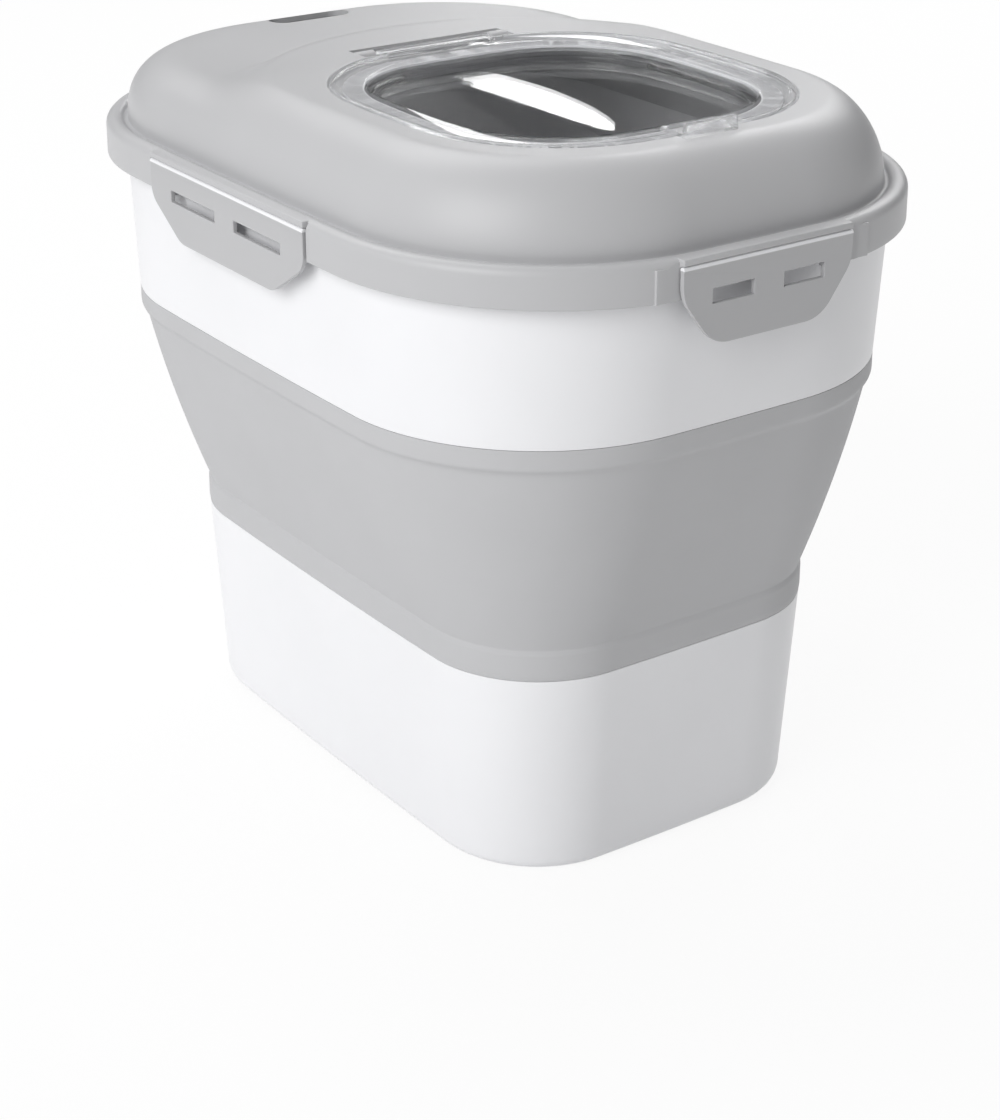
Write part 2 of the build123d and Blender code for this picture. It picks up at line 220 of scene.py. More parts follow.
def between(low_plan, high_plan, share):
    """Plans mixed in a straight line, one for each share from 0 to 1."""
    share = np.clip(share, 0, 1)[:, None]
    return np.asarray(low_plan) * (1 - share) + np.asarray(high_plan) * share


def lift(rows, heights):
    """Rows of flat points given a height for each row or point, as a grid of points in space."""
    heights = np.broadcast_to(np.reshape(heights, (len(rows), -1)), rows.shape[:2])
    return np.dstack([rows, heights])


def carried(path, low_plan, high_plan, low, high):
    """A path of (inset, height) pairs carried round the outline that changes with height."""
    share = (path[:, 1] - low) / (high - low)
    return lift(outline(between(low_plan, high_plan, share), path[:, 0]), path[:, 1])


def shrunk(row, shares, middle=(0.0, 0.0)):
    """Copies of one row of points, drawn in towards a middle by each share."""
    centre = np.array([*middle, 0.0])
    flat = row * (1.0, 1.0, 0.0)
    scaled = centre + (flat - centre) * np.asarray(shares)[:, None, None]
    return scaled + row * (0.0, 0.0, 1.0)


def capped(grid, middle=(0.0, 0.0)):
    """The grid with its first and last row closed at a middle."""
    first = shrunk(grid[:1], (0.0,), middle)
    last = shrunk(grid[-1:], (0.0,), middle)
    return np.concatenate([first, grid, last])


def grid_faces(rows, columns, closed):
    """Corner indices of the quads between neighbouring rows; columns always close up."""
    index = np.arange(rows * columns).reshape(rows, columns)
    if closed:
        index = np.vstack([index, index[:1]])
    beside = np.roll(index, -1, axis=1)
    return np.stack([index[:-1], beside[:-1], beside[1:], index[1:]], axis=-1).reshape(-1, 4)


def tidied(mesh):
    """Merges doubles, turns faces outwards, and shades smooth between the sharp edges."""
    work = bmesh.new()
    work.from_mesh(mesh)
    bmesh.ops.remove_doubles(work, verts=work.verts, dist=MERGE)
    bmesh.ops.dissolve_degenerate(work, edges=work.edges, dist=MERGE)
    bmesh.ops.recalc_face_normals(work, faces=work.faces)
    work.to_mesh(mesh)
    work.free()
    mesh.shade_smooth()
    mesh.set_sharp_from_angle(angle=radians(SHARP_DEGREES))
    return mesh


def grid_mesh(name, *grids):
    """One mesh from (points, closed) grids.

    Quads lie between neighbouring rows, and between the last and the first row if closed.
    """
    points = []
    faces = []
    start = 0
    for grid, closed in grids:
        rows, columns = grid.shape[:2]
        points.append(grid.reshape(-1, 3))
        faces.append(grid_faces(rows, columns, closed) + start)
        start += rows * columns
    mesh = bpy.data.meshes.new(name)
    mesh.from_pydata((np.concatenate(points) / METRE).tolist(), [], np.concatenate(faces).tolist())
    return tidied(mesh)


def piece(name, mesh, material):
    """An object at the origin that shows the mesh with one material."""
    made = bpy.data.objects.new(name, mesh)
    bpy.context.scene.collection.objects.link(made)
    mesh.materials.clear()
    mesh.materials.append(material)
    return made


def block(low, high, edge):
    """Closed grid of a box with rounded edges.

    The section is four quarter arcs set out to the corners. At each end it draws in by the edge
    in a quarter turn, and closes in the middle.
    """
    steps = 3
    low = np.asarray(low, float)
    high = np.asarray(high, float)
    middle = (low + high) / 2
    half = (high - low) / 2
    turn = np.linspace(0, pi / 2, steps + 1)
    around = (turn[None, :] + np.arange(4)[:, None] * pi / 2).ravel()
    quarter = np.repeat(np.arange(4), steps + 1)
    sign_x = np.array([1, -1, -1, 1])[quarter]
    sign_y = np.array([1, 1, -1, -1])[quarter]
    bottom = -half[2] + edge - edge * np.cos(turn)
    top = half[2] - edge + edge * np.sin(turn)
    rise = np.concatenate([bottom, top])
    reach = np.concatenate([edge * np.sin(turn), edge * np.cos(turn)])
    x = sign_x * (half[0] - edge) + np.outer(reach, np.cos(around))
    y = sign_y * (half[1] - edge) + np.outer(reach, np.sin(around))
    grid = np.dstack([x, y, np.broadcast_to(rise[:, None], x.shape)])
    return capped(grid) + middle, False


def bar(radius, half_length, y, z, x=0.0, edge=0.4):
    """Closed grid of a round bar along X: circles whose radius draws in by the edge at the ends."""
    count = 32
    inner = half_length - edge
    stations = np.array([-half_length, -half_length, -inner, inner, half_length, half_length])
    radii = np.array([0.0, radius - edge, radius, radius, radius - edge, 0.0])
    angle = 2 * pi * np.arange(count) / count
    along = np.broadcast_to(stations[:, None] + x, (len(stations), count))
    across = y + np.outer(radii, np.cos(angle))
    return np.dstack([along, across, z + np.outer(radii, np.sin(angle))]), False


def turned(grid, degrees):
    """A (points, closed) grid turned about the upright axis."""
    points, closed = grid
    angle = radians(degrees)
    along_x = [cos(angle), sin(angle), 0.0]
    along_y = [-sin(angle), cos(angle), 0.0]
    return points @ np.array([along_x, along_y, [0.0, 0.0, 1.0]]), closed


def combined(mesh, *steps):
    """The mesh joined with, or cut by, solids.

    Each step is an operation and grids that don't overlap.
    """
    body = bpy.data.objects.new("body", mesh)
    tools = []
    for operation, grids in steps:
        tool = bpy.data.objects.new("tool", grid_mesh("tool", *grids))
        tools.append(tool)
        cut = body.modifiers.new("cut", "BOOLEAN")
        cut.operation = operation
        cut.solver = "MANIFOLD"
        cut.object = tool
    for made in (body, *tools):
        bpy.context.scene.collection.objects.link(made)
    shown = body.evaluated_get(bpy.context.evaluated_depsgraph_get())
    result = bpy.data.meshes.new_from_object(shown)
    for made in (body, *tools):
        bpy.data.objects.remove(made)
    return tidied(result)


class Wire:
    """A shader socket that takes part in sums: each operator adds one Math node."""

    def __init__(self, finish, socket):
        self.finish = finish
        self.socket = socket

    def math(self, operation, first, second):
        settings = {"operation": operation}
        return self.finish.out(self.finish.node("ShaderNodeMath", settings, {0: first, 1: second}))

    def __add__(self, other):
        return self.math("ADD", self, other)

    def __mul__(self, other):
        return self.math("MULTIPLY", self, other)

    def __sub__(self, other):
        return self.math("SUBTRACT", self, other)

    def __rsub__(self, other):
        return self.math("SUBTRACT", other, self)

    def __abs__(self):
        return self.math("ABSOLUTE", self, 0.0)

    def highest(self, other):
        return self.math("MAXIMUM", self, other)

    __radd__ = __add__
    __rmul__ = __mul__


class Finish:
    """The node tree of one material or of the world."""

    def __init__(self, owner):
        self.owner = owner
        owner.use_nodes = True
        self.tree = owner.node_tree
        self.tree.nodes.clear()

    def node(self, kind, settings=None, inputs=None):
        """Adds a node: its settings first, then the values or links of its sockets."""
        made = self.tree.nodes.new(kind)
        for key, value in (settings or {}).items():
            setattr(made, key, value)
        for key, value in (inputs or {}).items():
            if isinstance(value, Wire):
                self.tree.links.new(value.socket, made.inputs[key])
            else:
                made.inputs[key].default_value = value
        return made

    def out(self, made, key=0):
        return Wire(self, made.outputs[key])

    def coordinates(self, key="Object"):
        """The place, or with another key the normal, in the piece's own frame."""
        return self.out(self.node("ShaderNodeTexCoord"), key)

    def upright(self, vector):
        """The part of a vector along Z."""
        return self.out(self.node("ShaderNodeSeparateXYZ", None, {0: vector}), 2)

    def noise(self, place, scale, detail=2.0, roughness=0.5):
        """Soft random value from 0 to 1, with cells of about one over the scale, in metres."""
        inputs = {"Vector": place, "Scale": scale, "Detail": detail, "Roughness": roughness}
        return self.out(self.node("ShaderNodeTexNoise", None, inputs), "Fac")

    def ease(self, value, low, high, start=0.0, stop=1.0):
        """Value that goes smoothly from start to stop as another goes from low to high."""
        settings = {"interpolation_type": "SMOOTHSTEP"}
        source = {"Value": value, "From Min": low, "From Max": high}
        target = {"To Min": start, "To Max": stop}
        return self.out(self.node("ShaderNodeMapRange", settings, {**source, **target}))

    def blend(self, factor, first, second):
        """Colour that goes from the first to the second as the factor goes from 0 to 1."""
        settings = {"data_type": "RGBA"}
        return self.out(self.node("ShaderNodeMix", settings, {0: factor, 6: first, 7: second}), 2)

    def bump(self, height, strength, distance):
        """Normal bent by a height value, as deep as the distance in metres."""
        inputs = {"Height": height, "Strength": strength, "Distance": distance}
        return self.out(self.node("ShaderNodeBump", None, inputs))

    def shader(self, kind, inputs):
        """A shader node of one kind."""
        return self.out(self.node(kind, None, inputs))

    def show(self, shader, output="ShaderNodeOutputMaterial"):
        """Leads a shader to the output, and gives the material or the world."""
        self.node(output, None, {"Surface": shader})
        return self.owner

    def surface(self, inputs):
        """Principled shader as the material's surface."""
        return self.show(self.shader("ShaderNodeBsdfPrincipled", inputs))


def grey(level):
    """Grey of the given level with a trace of blue."""
    return (level, level * 1.003, level * 1.025, 1.0)


def moulded_plastic(name, level, roughness, texture, grain, highlight_height=None):
    """Moulded polypropylene: flow marks in the colour, uneven gloss, and a fine sparked texture.

    Above the given height, in metres, the colour goes pale: a painted highlight for the light
    caught along the clips' rolled top edge.
    """
    finish = Finish(bpy.data.materials.new(name))
    place = finish.coordinates()
    flow = finish.noise(place, 14.0, 3.0)
    fine = finish.noise(place, texture, 2.0, 0.6)
    colour = finish.blend(flow, grey(level * 0.97), grey(level * 1.03))
    # Pale band above the clips' turning axis: a painted highlight along their rolled top edge
    if highlight_height is not None:
        painted_highlight = finish.ease(finish.upright(place), highlight_height - 0.0004, highlight_height + 0.0002)
        colour = finish.blend(painted_highlight * (0.8 + flow * 0.4), colour, grey(0.86))
    gloss = roughness + (flow - 0.5) * 0.08 + (fine - 0.5) * 0.06
    normal = finish.bump(fine, 0.35, grain)
    return finish.surface({"Base Color": colour, "Roughness": gloss, "Normal": normal, "IOR": 1.46})


def rubber(name, level):
    """Matte rubber: dusty bloom in the colour and a dense, dull texture."""
    finish = Finish(bpy.data.materials.new(name))
    place = finish.coordinates()
    bloom = finish.noise(place, 22.0, 4.0)
    fine = finish.noise(place, 2600.0, 2.0, 0.6)
    colour = finish.blend(bloom, grey(level * 0.965), grey(level * 1.03))
    gloss = 0.72 + (bloom - 0.5) * 0.1
    normal = finish.bump(fine, 0.3, 0.00008)
    return finish.surface({"Base Color": colour, "Roughness": gloss, "Normal": normal, "IOR": 1.5})


def clear_plastic(name):
    """Polished clear plastic with faint handling smears in its gloss, clearest on level faces.

    The share that isn't clear falls from edge to face as the upright part of the piece's own
    normal nears 1.
    """
    finish = Finish(bpy.data.materials.new(name))
    smear = finish.noise(finish.coordinates(), 30.0, 4.0)
    level = abs(finish.upright(finish.coordinates("Normal")))
    return finish.surface(
        {
            "Base Color": (0.97, 0.98, 0.985, 1.0),
            "Roughness": 0.01 + smear * 0.03,
            "IOR": 1.49,
            "Transmission Weight": 1.0,
            "Alpha": finish.ease(level, 0.6, 0.98, 0.7, 0.28),
        }
    )


def silicone(name):
    """Soft milky silicone with a slight bloom."""
    finish = Finish(bpy.data.materials.new(name))
    bloom = finish.noise(finish.coordinates(), 60.0, 3.0)
    colour = finish.blend(bloom, grey(0.8), grey(0.86))
    return finish.surface({"Base Color": colour, "Roughness": 0.45 + bloom * 0.1, "IOR": 1.42})


def drawn_steel(name):
    """Bright drawn wire with fine lines along X."""
    finish = Finish(bpy.data.materials.new(name))
    inputs = {"Vector": finish.coordinates(), "Scale": (4.0, 900.0, 900.0)}
    stretch = finish.node("ShaderNodeMapping", None, inputs)
    lines = finish.noise(finish.out(stretch), 1.0, 2.0)
    colour = finish.blend(lines, grey(0.5), grey(0.66))
    gloss = 0.25 + lines * 0.15
    return finish.surface({"Base Color": colour, "Metallic": 1.0, "Roughness": gloss})


GREY_TEXTURE = (1900.0, 0.00007)
white_plastic = moulded_plastic("white_plastic", 0.84, 0.36, 1500.0, 0.00004)
grey_plastic = moulded_plastic("grey_plastic", 0.49, 0.4, *GREY_TEXTURE)
# Clip plastic: the lid's grey, with a pale band painted along the top edge as a painted highlight
edge_highlight_plastic = moulded_plastic("edge_highlight_plastic", 0.47, 0.46, *GREY_TEXTURE, clip_axis / METRE)
grey_rubber = rubber("grey_rubber", 0.51)
clear = clear_plastic("clear_plastic")
soft_seal = silicone("seal_rubber")
pin_steel = drawn_steel("pin_steel")


def lower_tub():
    """Tub: a path from the middle of the underside, round the foot, up the wall, to the floor."""
    wall = 2.4
    floor_height = 2.6
    foot_inset = 15.0
    foot_depth = 1.2
    path = rounded(
        [
            (foot_inset + 25, foot_depth, 0),
            (foot_inset, foot_depth, 0.8),
            (foot_inset, 0, 0.8),
            (0, 0, 6.0),
            (0, tub_top, 0.25),
            (LIP_INSET, tub_top, 0.3),
            (LIP_INSET, lip_top, 0.35),
            (wall, lip_top, 0.35),
            (wall, floor_height, 4.0),
            (wall + 36, floor_height, 0),
        ]
    )
    body = carried(divided(path, 12.0), base_plan, tub_top_plan, 0, tub_top)
    shares = np.linspace(0, 1, 9)
    under = shrunk(body[:1], shares[:-1])
    inside = shrunk(body[-1:], shares[-2::-1])
    grid = np.concatenate([under, body, inside])
    made = piece("tub_shell", grid_mesh("tub_shell", (grid, False)), white_plastic)
    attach(made, "base")
    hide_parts("lower_tub")


def folding_sleeve():
    """Sleeve: a closed section of two cuffs and a cone, carried round outlines that grow.

    The cone's inset goes in a straight line from low to high, less four swells times the share
    of the height times the rest.
    """
    wall = 2.2
    cuff_inset = 1.2
    cone_low = sleeve_bottom + 13.9
    cone_high = sleeve_top - 10.9
    low_inset = 0.4
    high_inset = 2.2
    swell = 1.8
    share = np.linspace(0, 1, 13)
    inset = low_inset + (high_inset - low_inset) * share - 4 * swell * share * (1 - share)
    height = cone_low + (cone_high - cone_low) * share
    outside = [
        (0, sleeve_bottom, 0.2),
        (-0.3, sleeve_bottom + 2.4, 1.2),
        (-0.3, sleeve_bottom + 11.5, 5.0),
        *zip(inset, height, [4.0] + [0] * 11 + [3.0]),
        (0, sleeve_top - 8.5, 3.2),
        (0, sleeve_top, 0.15),
    ]
    inside = [
        (cuff_inset, sleeve_top, 0.3),
        (cuff_inset, sleeve_top - 8.0, 0.6),
        *zip(inset[::-1] + wall, height[::-1], [0.8] + [0] * 11 + [0.8]),
        (cuff_inset, sleeve_bottom + 11.0, 0.6),
        (cuff_inset, sleeve_bottom, 0.3),
    ]
    path = divided(rounded(outside + inside, 4, True), 2.6, True)
    grid = carried(path, tub_top_plan, ring_bottom_plan, cone_low, cone_high)
    made = piece("sleeve_skin", grid_mesh("sleeve_skin", (grid, True)), grey_rubber)
    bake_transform(made)
    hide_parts("folding_sleeve")


class ClipSeat:
    """Sizes of one clip and of what holds it, as at the front, and then turned to its side.

    Reach says which size of a plan the clip lies at: 0 for half the width, 1 for half the length.
    """

    flat_depth = 2.2
    roll_radius = 1.6
    lug_drop = 9.7
    lug_thickness = 2.8
    lug_level = 0.87
    lug_root = 1.3
    lug_set_back = 0.42
    lug_play = 1.0
    notch_play = 1.5
    brow_sink = 0.2
    brow_rise = 1.55
    brow_reach = 1.1
    cut_depth = 20.0
    overshoot = 1.0

    def __init__(self, node, degrees, reach, width, margin, slot_length, pitch):
        self.node = node
        self.degrees = degrees
        self.half = width / 2
        self.land_half = width / 2 + margin
        self.slot_half = slot_length / 2
        self.pitch = pitch
        self.land_y = self.flat_depth - rim_plan[reach]
        self.inner_y = self.land_y + LID_WALL
        self.axis_y = self.land_y - self.roll_radius
        self.lug_top = clip_axis - self.lug_drop
        plan = between(ring_bottom_plan, ring_top_plan, np.array([self.lug_level]))[0]
        off_middle = reach * cos(radians(degrees)) * rim_middle
        self.root_y = self.lug_root - plan[reach] - off_middle

    def placed(self, grid):
        """A grid made as at the front, turned to the clip's side of the lid."""
        points, closed = turned(grid, self.degrees)
        return points + (0.0, rim_middle, 0.0), closed

    def flat(self):
        """What the flat takes off the rim's bowed outside."""
        low = (-self.land_half, self.land_y - self.cut_depth, rim_bottom - self.overshoot)
        high = (self.land_half, self.land_y, rim_top + self.overshoot)
        return self.placed(block(low, high, 0.15))

    def land(self):
        """Wall behind the flat, and the root and the overhang of the brow."""
        top = rim_top - self.brow_sink
        low = (-self.land_half, self.land_y, rim_bottom)
        wall = block(low, (self.land_half, self.inner_y, web_low + 0.5), 0.4)
        low = (-self.half, self.axis_y, clip_axis)
        root = block(low, (self.half, self.inner_y + 1.0, top), 0.4)
        low = (-self.half, self.axis_y - self.brow_reach, clip_axis + self.brow_rise)
        over = block(low, (self.half, self.inner_y + 1.5, top + 0.05), 0.55)
        return [self.placed(grid) for grid in (wall, root, over)]

    def cuts(self):
        """Groove for the rolled edge, and the lugs' way through the skirt."""
        groove = bar(self.roll_radius, self.half + 0.3, self.axis_y, clip_axis, edge=0.1)
        notch_half = self.pitch / 2 + self.slot_half + self.notch_play
        low = (-notch_half, self.axis_y, rim_bottom - self.overshoot)
        high = (notch_half, self.inner_y + 0.5, self.lug_top + self.notch_play)
        notch = block(low, high, 0.1)
        return [self.placed(grid) for grid in (groove, notch)]

    def lugs(self):
        """Two lugs on the ring, one behind each slot and a little narrower than it."""
        tip = self.land_y + self.lug_set_back * (self.root_y - self.land_y)
        half = self.slot_half - self.lug_play
        made = []
        for side in (-1, 1):
            middle = side * self.pitch / 2
            low = (middle - half, tip, self.lug_top - self.lug_thickness)
            made.append(self.placed(block(low, (middle + half, self.root_y, self.lug_top), 0.4)))
        return made


END_CLIP = dict(reach=1, width=86.0, margin=11.0, slot_length=21.0, pitch=36.0)
SIDE_CLIP = dict(reach=0, width=128.0, margin=1.2, slot_length=38.0, pitch=54.0)
clip_seats = [
    ClipSeat("front_clip", 0, **END_CLIP),
    ClipSeat("right_clip", 90, **SIDE_CLIP),
    ClipSeat("rear_clip", 180, **END_CLIP),
    ClipSeat("left_clip", 270, **SIDE_CLIP),
]


def upper_ring():
    """Ring: a closed section of wall and lower lip, carried round outlines that grow, and lugs."""
    wall = 2.6
    section = [
        (0, ring_bottom, 0.2),
        (0, ring_top, 0.8),
        (wall, ring_top, 0.8),
        (wall, ring_bottom, 0),
        (wall, ring_lip_low, 0.35),
        (LIP_INSET, ring_lip_low, 0.35),
        (LIP_INSET, ring_bottom, 0.3),
    ]
    path = divided(rounded(section, 5, True), 10.0, True)
    grid = carried(path, ring_bottom_plan, ring_top_plan, ring_bottom, ring_top)
    lugs = [lug for seat in clip_seats for lug in seat.lugs()]
    mesh = combined(grid_mesh("ring_wall", (grid, True)), ("UNION", lugs))
    made = piece("ring_shell", mesh, white_plastic)
    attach(made, "ring")
    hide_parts("upper_ring", "ring_lugs")


# Lid's crown: inset of its foot from the rim's outside, and how far in its rows follow the rim
CROWN_FOOT = 10.0
CROWN_BAND = 30.0

# Run, rise and power of the shoulder of the rear deck and of the high front
DECK_SHOULDER = (28.0, 26.0, 2.4)
FRONT_SHOULDER = (25.0, 33.5, 1.75)

# Any inset past the end of both shoulders, and how far outside the window the crown ends
LEVEL_INSET = 60.0
SEAT_EDGE = 1.6

# Arc step between front and deck: its radius, its width in the middle and what its ends add,
# and where along X the widening begins and how far it runs
STEP_RADIUS = 130.0
STEP_WIDTH = 17.0
STEP_WIDENING = 22.0
STEP_WIDENS_AT = 60.0
STEP_WIDENS_OVER = 50.0


def shoulder(inset, foot, run, rise, power):
    """Height of a quarter superellipse above its foot, level past the end of its run.

    The rise times one less the share of the run that is left, to the power, to one over the
    power. A higher power is fuller.
    """
    share = np.clip((foot + run - inset) / run, 0, 1)
    return rise * (1 - share**power) ** (1 / power)


def eased(share):
    """The share held between 0 and 1, with a level start and end: three squares less two cubes."""
    share = np.clip(share, 0, 1)
    return share * share * (3 - 2 * share)


def on_plateau(rows, drawn_in):
    """1 on the high front and 0 on the rear deck, smooth across the arc step between them."""
    reach = np.hypot(rows[..., 0], np.maximum(rows[..., 1] - step_middle, 0))
    end = eased((np.abs(rows[..., 0]) - STEP_WIDENS_AT) / STEP_WIDENS_OVER)
    width = STEP_WIDTH + STEP_WIDENING * end
    return eased((STEP_RADIUS - drawn_in + width / 2 - reach) / width)


def crown(rows, inset, drawn_in=0.0):
    """Height of the lid's crown: the deck's shoulder, raised to the front's where the front is."""
    inset = np.reshape(inset, (len(rows), -1))
    low, high = (
        shoulder(inset, CROWN_FOOT + drawn_in, run - drawn_in, rise - drawn_in, power)
        for run, rise, power in (DECK_SHOULDER, FRONT_SHOULDER)
    )
    return rim_top + low + (high - low) * on_plateau(rows, drawn_in)


def lid_sheet(drawn_in, slope_rows, top_rows):
    """One face of the crown, from its foot inwards to the curve where the window seat begins."""
    turn = np.linspace(0, pi / 2, slope_rows)
    inset = CROWN_FOOT + drawn_in + (CROWN_BAND - drawn_in) * (1 - np.cos(turn))
    slope = outline([rim_plan] * slope_rows, inset, BODY_BOWS, rim_middle, LID_COLUMNS)
    seat = outline([window_plan], [-SEAT_EDGE - drawn_in], WINDOW_BOWS, window_middle, LID_COLUMNS)
    share = np.linspace(0, 1, top_rows + 1)[1:, None, None]
    top = slope[-1:] * (1 - share) + seat * share
    slope_heights = crown(slope, inset, drawn_in)
    top_heights = crown(top, [LEVEL_INSET] * top_rows, drawn_in)
    return np.concatenate([lift(slope, slope_heights), lift(top, top_heights)])


def lid_rim():
    """Rows from the foot of the crown through the valley, over the rim, and up inside the skirt."""
    edge = rounded(
        [
            (CROWN_FOOT, rim_top + 1.0, 0),
            (CROWN_FOOT, groove_low, 0.9),
            (8.2, groove_low, 1.2),
            (6.6, rim_top, 4.0),
            (0.0, rim_top, 4.0),
            (0.0, rim_bottom, 0.5),
            (LID_WALL, rim_bottom, 0.5),
            (LID_WALL, web_low, 0.6),
            (9.2, web_low, 0.4),
        ],
        5,
    )
    edge = divided(edge, 6.0)[1:]
    plans = [rim_plan] * len(edge)
    return lift(outline(plans, edge[:, 0], BODY_BOWS, rim_middle, LID_COLUMNS), edge[:, 1])


def lid_rib():
    """Rows of the rib that stands inside the ring and centres the lid."""
    rib_low = web_low - 8.0
    rib = rounded(
        [
            (3.4, web_low, 0),
            (3.4, rib_low, 0.6),
            (5.4, rib_low, 0.6),
            (5.4, groove_low, 0),
        ]
    )
    return lift(outline([ring_top_plan] * len(rib), rib[:, 0], columns=LID_COLUMNS), rib[:, 1])


def window_seat():
    """Rows of the seat: down its outside, under it, and up over ledge and wall to the crown."""
    seat = rounded(
        [
            (-3.3, flange_low - 2.0, 0),
            (-3.3, seat_low, 0.5),
            (12.8, seat_low, 0.5),
            (12.8, recess_low, 0.5),
            (-0.9, recess_low, 0.4),
            (-0.9, flange_top, 0.6),
            (-SEAT_EDGE, flange_top, 0),
        ],
        3,
    )[:-1]
    plans = [window_plan] * len(seat)
    return lift(outline(plans, seat[:, 0], WINDOW_BOWS, window_middle, LID_COLUMNS), seat[:, 1])


# Window hinge: radius of the window's barrel and of the lid's two knuckles, half the length of
# each, and where along X the knuckles stand
BARREL_RADIUS = 3.1
BARREL_HALF = 30.5
KNUCKLE_X = 36.0
KNUCKLE_HALF = 5.0


def lid_shell():
    """Lid: one closed grid from the window seat over crown, rim and skirt and back underneath.

    The clips' flats, walls, brows and grooves, the slot and the window's hinge are joined or cut.
    """
    sheets = [lid_sheet(0.0, 30, 40)[::-1], lid_rim(), lid_rib(), lid_sheet(LID_WALL, 12, 8)]
    mesh = grid_mesh("lid_crown", (np.concatenate([*sheets, window_seat()]), True))
    pan_half = 42.7
    pan_depth = 9.7
    low = (-pan_half, window_rear - 3.1, flange_top - pan_depth)
    pan = block(low, (pan_half, hinge_y + 8.3, flange_low), 0.4)
    pocket_half = 40.5
    pocket_depth = 7.5
    low = (-pocket_half, window_rear - 0.9, flange_top - pocket_depth)
    pocket = block(low, (pocket_half, hinge_y + 6.1, flange_top + 5), 0.4)
    walls, roots, brows = zip(*[seat.land() for seat in clip_seats])
    grooves, notches = zip(*[seat.cuts() for seat in clip_seats])
    flats = [seat.flat() for seat in clip_seats]
    stands = []
    knuckles = []
    for side in (-1, 1):
        x = side * KNUCKLE_X
        low = (x - KNUCKLE_HALF, hinge_y - BARREL_RADIUS, flange_top - 8.0)
        high = (x + KNUCKLE_HALF, hinge_y + BARREL_RADIUS, pin_height)
        stands.append(block(low, high, 0.3))
        knuckles.append(bar(BARREL_RADIUS, KNUCKLE_HALF, hinge_y, pin_height, x))
    return combined(
        mesh,
        ("DIFFERENCE", flats),
        ("UNION", [pan, *walls]),
        ("UNION", roots),
        ("UNION", brows),
        ("DIFFERENCE", [pocket, slot_tool(), *grooves]),
        ("DIFFERENCE", notches),
        ("UNION", stands),
        ("UNION", knuckles),
    )


def slot_tool():
    """Upright bar with a section of two half circles, for the slot through the rear deck."""
    count = 24
    radius = 7.2
    length = 43.0
    angle = np.linspace(-pi / 2, pi / 2, count)
    half_run = length / 2 - radius
    x = np.concatenate([half_run + radius * np.cos(angle), -half_run - radius * np.cos(angle)])
    y = slot_middle + np.concatenate([radius * np.sin(angle), -radius * np.sin(angle)])
    rows = np.repeat(np.dstack([x, y]), 2, axis=0)
    grid = lift(rows, [rim_top + 2.0, flange_top])
    return capped(grid, (0.0, slot_middle)), False


def lid():
    made = piece("lid_shell", lid_shell(), grey_plastic)
    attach(made, "lid")
    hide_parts("lid")


def clip(seat, body):
    """Clip: the CAD plate with its triangles merged into flat faces, and its edges softened."""
    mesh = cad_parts[seat.node].data.copy()
    flat_turn = radians(1.0)
    work = bmesh.new()
    work.from_mesh(mesh)
    bmesh.ops.remove_doubles(work, verts=work.verts, dist=MERGE)
    bmesh.ops.dissolve_limit(work, angle_limit=flat_turn, verts=work.verts, edges=work.edges)
    work.to_mesh(mesh)
    work.free()
    mesh.shade_smooth()
    mesh.set_sharp_from_angle(angle=radians(30.0))
    made = piece(f"{seat.node}_plate", mesh, edge_highlight_plastic)
    soften = made.modifiers.new("soften", "BEVEL")
    soften.width = 0.00045
    soften.segments = 3
    soften.limit_method = "ANGLE"
    soften.angle_limit = radians(40.0)
    soften.harden_normals = True
    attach(made, body)
    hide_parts(seat.node)


def dish(rows):
    """Height of the dish's crowned floor.

    Its top less the squared distance from the middle over twice the radius.
    """
    depth = 4.5
    radius = 1300.0
    reach = np.hypot(rows[..., 0], rows[..., 1] - window_middle)
    return flange_top - depth - reach**2 / (2 * radius)


def window_pane():
    """Window: a path from the middle of the dish, over wall and flange, and back under to it."""
    inner = 16.5
    outer = 14.5
    sheet = 2.0
    steps = 14
    fillet = 2.6
    wall_foot = flange_top - 6.5
    bead_top = flange_top + 0.7
    inset = inner + np.linspace(44.0, fillet, steps)
    floor_rows = outline([window_plan] * steps, inset, WINDOW_BOWS, window_middle)
    shares = np.linspace(0, 1, 10)
    core = shrunk(lift(floor_rows[:1], [0.0]), shares[:-1], (0.0, window_middle))[..., :2]
    upper = np.concatenate([core, floor_rows])
    under_inset = np.append(inset, inner + 1.0)
    under_rows = outline([window_plan] * len(under_inset), under_inset, WINDOW_BOWS, window_middle)
    under = np.concatenate([core, under_rows])[::-1]
    path = rounded(
        [
            (inner + fillet, wall_foot, 0),
            (inner, wall_foot, 2.4),
            (inner, flange_top, 1.9),
            (3.0, flange_top, 0.6),
            (2.2, bead_top, 0.5),
            (0.0, bead_top, 0.6),
            (0.0, flange_low, 0.4),
            (outer, flange_low, 0.5),
            (outer, plug_low, 0.7),
            (inner, plug_low, 0),
        ],
        7,
    )[1:]
    wall_rows = outline([window_plan] * len(path), path[:, 0], WINDOW_BOWS, window_middle)
    walls = lift(wall_rows, path[:, 1])
    grid = np.concatenate([lift(upper, dish(upper)), walls, lift(under, dish(under) - sheet)])
    mesh = grid_mesh("window_sheet", (grid, False))
    tongue_half = 29.0
    low = (-tongue_half, window_rear - 9.0, flange_low)
    tongue = block(low, (tongue_half, hinge_y, flange_top), 0.3)
    barrel = bar(BARREL_RADIUS, BARREL_HALF, hinge_y, pin_height)
    foot, root, upright = finger_tab()
    return combined(
        mesh,
        ("UNION", [tongue, root]),
        ("UNION", [barrel, foot]),
        ("UNION", [upright]),
    )


